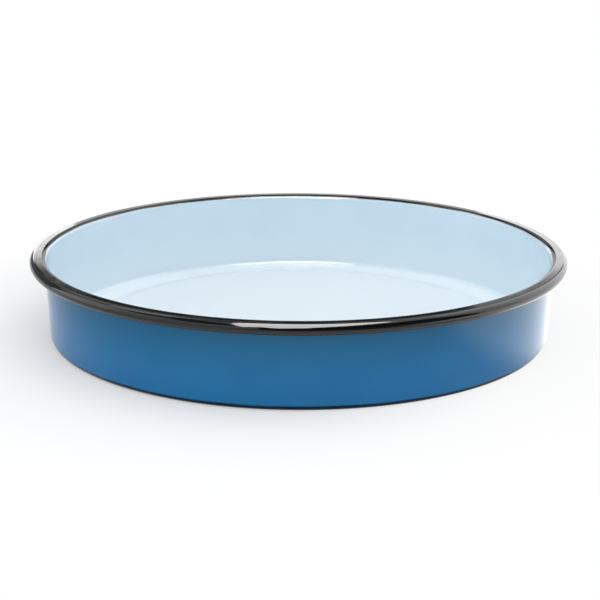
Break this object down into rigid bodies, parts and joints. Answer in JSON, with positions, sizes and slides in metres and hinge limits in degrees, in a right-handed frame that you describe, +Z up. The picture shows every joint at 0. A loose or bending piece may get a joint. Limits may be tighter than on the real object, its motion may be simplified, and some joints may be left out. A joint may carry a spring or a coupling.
{
  "type": "pie dish",
  "caption": "Round shallow enamelled steel pie dish with a nearly straight wall, a rolled black rim, a pale inside, a blue outside and a bare dark base coat.",
  "frame": {"origin": "centre of the base, in the plane of the standing ring that rests on the table", "axes": "+Z up along the axis that the dish is turned about, out of its open top; X and Y lie along the table"},
  "size_m": [0.3018, 0.3018, 0.0469],
  "materials": {
    "steel": "cold rolled enamelling steel, hidden under the coats",
    "ground_enamel": "glossy dark blue-black vitreous ground coat",
    "inner_enamel": "glossy pale blue vitreous enamel",
    "outer_enamel": "glossy blue vitreous enamel",
    "rim_enamel": "glossy black vitreous enamel"
  },
  "bodies": {
    "root": {"steel_shell": "steel", "inner_ground_coat": "ground_enamel", "outer_ground_coat": "ground_enamel", "inner_cover_coat": "inner_enamel", "outer_cover_coat": "outer_enamel", "rim_coat": "rim_enamel"}
  },
  "joints": []
}
